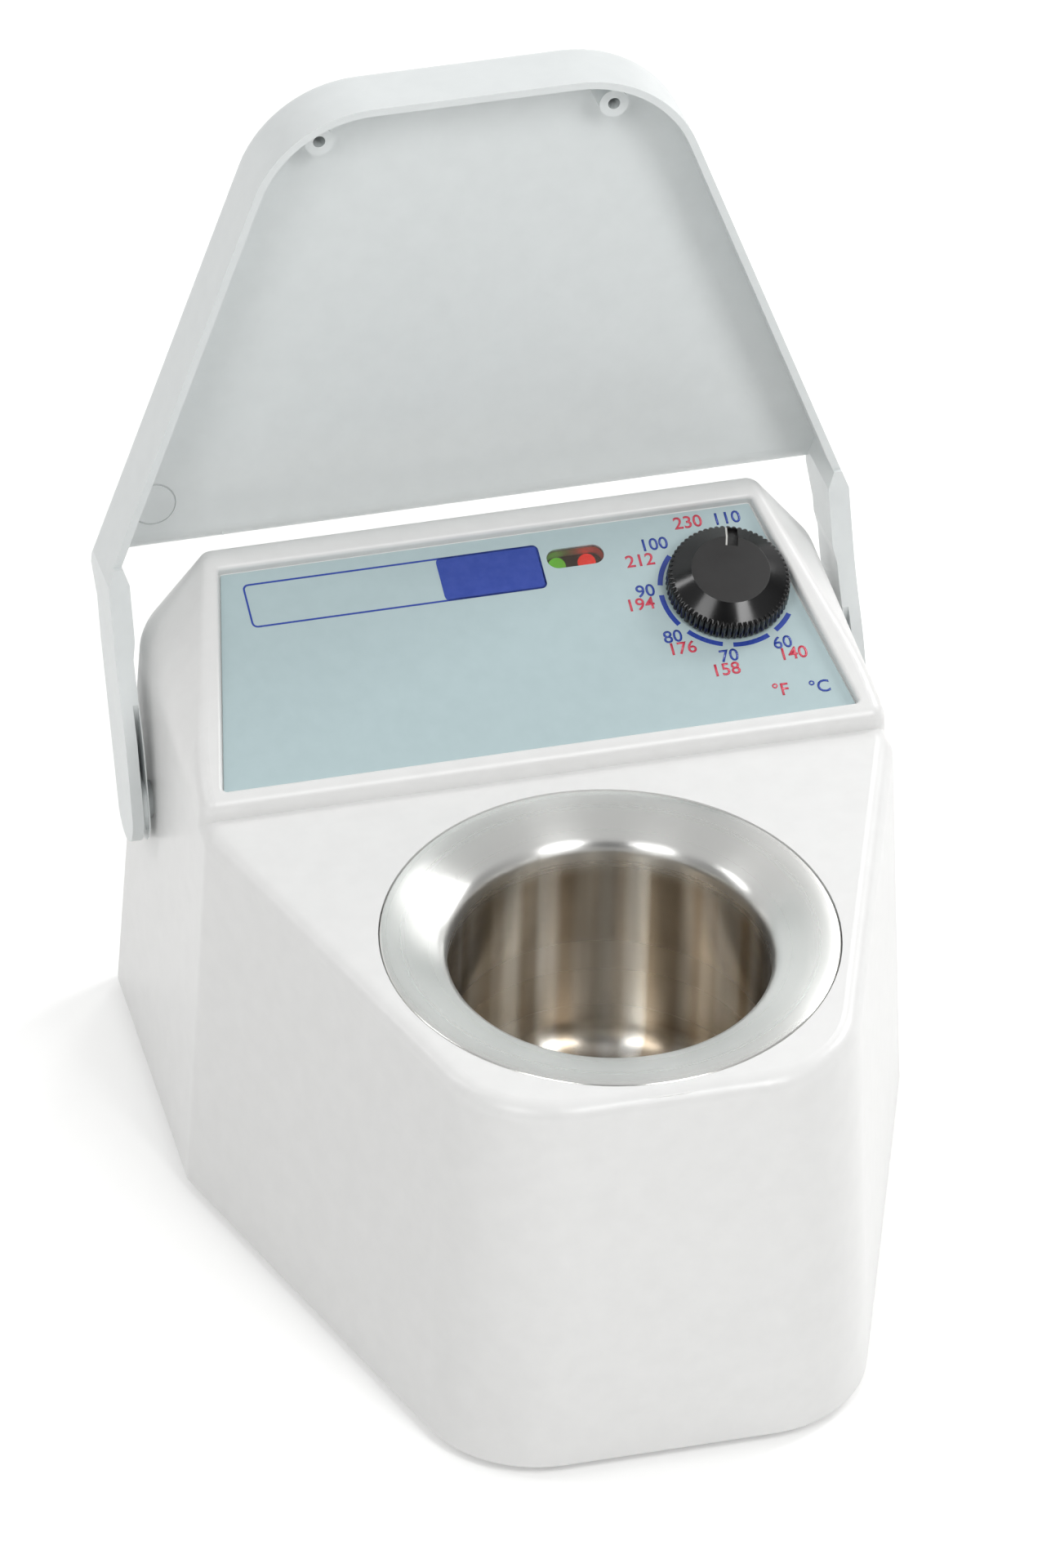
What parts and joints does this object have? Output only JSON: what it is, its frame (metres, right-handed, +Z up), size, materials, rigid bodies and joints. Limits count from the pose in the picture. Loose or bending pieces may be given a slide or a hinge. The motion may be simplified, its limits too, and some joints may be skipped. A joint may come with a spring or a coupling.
{
  "type": "dental lab wax heater",
  "caption": "Bench wax heater for dental work: a round aluminium dipping pot in a white case, with a sloping dial console and a hinged lid.",
  "frame": {"origin": "on the bench plane under the feet, below the middle of the heater's outline with its lid open", "axes": "+Z up; +Y to the back, where the console and the hinge are, so the pot and the front face look along -Y; +X to the right as seen from the front"},
  "size_m": [0.1236, 0.1536, 0.1664],
  "materials": {
    "housing_plastic": "moulded, satin gloss",
    "lid_plastic": "moulded, satin gloss",
    "base_plastic": "moulded, fine matt",
    "pot_aluminium": "turned",
    "panel_foil": "printed film, satin",
    "knob_plastic": "moulded, glossy shoulder and matt top",
    "pointer_paint": "filled line",
    "smoked_lens": "clear, smoke tinted",
    "green_lens": "clear tinted",
    "red_lens": "clear tinted, lit",
    "dark_plastic": "moulded",
    "feet_rubber": "moulded",
    "zinc_steel": "zinc plated",
    "nickel_brass": "nickel plated",
    "board_laminate": "solder resist",
    "transformer_iron": "varnished laminations",
    "relay_plastic": "moulded",
    "terminal_plastic": "moulded",
    "ceramic_fibre": "soft fibre blanket",
    "wire_cover": "silicone"
  },
  "bodies": {
    "case": {"base_plate": "base_plastic", "base_screws": "zinc_steel", "board_posts": "nickel_brass", "board_screws": "zinc_steel", "control_board": "board_laminate", "cutout_clip": "zinc_steel", "fuse_holder": "dark_plastic", "green_led": "green_lens", "heater_band": "zinc_steel", "heater_clamp_screw": "zinc_steel", "heater_wires": "wire_cover", "housing": "housing_plastic", "inlet_pins": "nickel_brass", "inlet_screws": "zinc_steel", "insulation_sleeve": "ceramic_fibre", "led_holder": "dark_plastic", "mains_inlet": "dark_plastic", "mains_wires": "wire_cover", "panel_foil": "panel_foil", "pot_retaining_ring": "zinc_steel", "potentiometer": "zinc_steel", "potentiometer_nut": "nickel_brass", "potentiometer_washer": "nickel_brass", "red_led": "red_lens", "relay": "relay_plastic", "retaining_screws": "zinc_steel", "rubber_feet": "feet_rubber", "switch_frame": "dark_plastic", "temperature_sensor": "zinc_steel", "terminal_block": "terminal_plastic", "thermal_cutout": "zinc_steel", "transformer": "transformer_iron", "wax_pot": "pot_aluminium", "window_lens": "smoked_lens"},
    "lid": {"lid": "lid_plastic"},
    "dial": {"knob": "knob_plastic", "knob_pointer": "pointer_paint", "potentiometer_shaft": "pot_aluminium"},
    "rocker": {"switch_rocker": "dark_plastic"}
  },
  "joints": [
    {"name": "lid_hinge", "type": "hinge", "parent": "case", "child": "lid", "pos_m": [0, 0.0422, 0.0506], "axis": [1, 0, 0], "range_deg": [0, 93]},
    {"name": "dial_turn", "type": "hinge", "parent": "case", "child": "dial", "pos_m": [0.03673, 0.03671, 0.08211], "axis": [0, -0.3262, 0.9453], "range_deg": [0, 249]},
    {"name": "switch_tilt", "type": "hinge", "parent": "case", "child": "rocker", "pos_m": [0.027, 0.05628, 0.03195], "axis": [1, 0, 0], "range_deg": [-20, 0]}
  ]
}
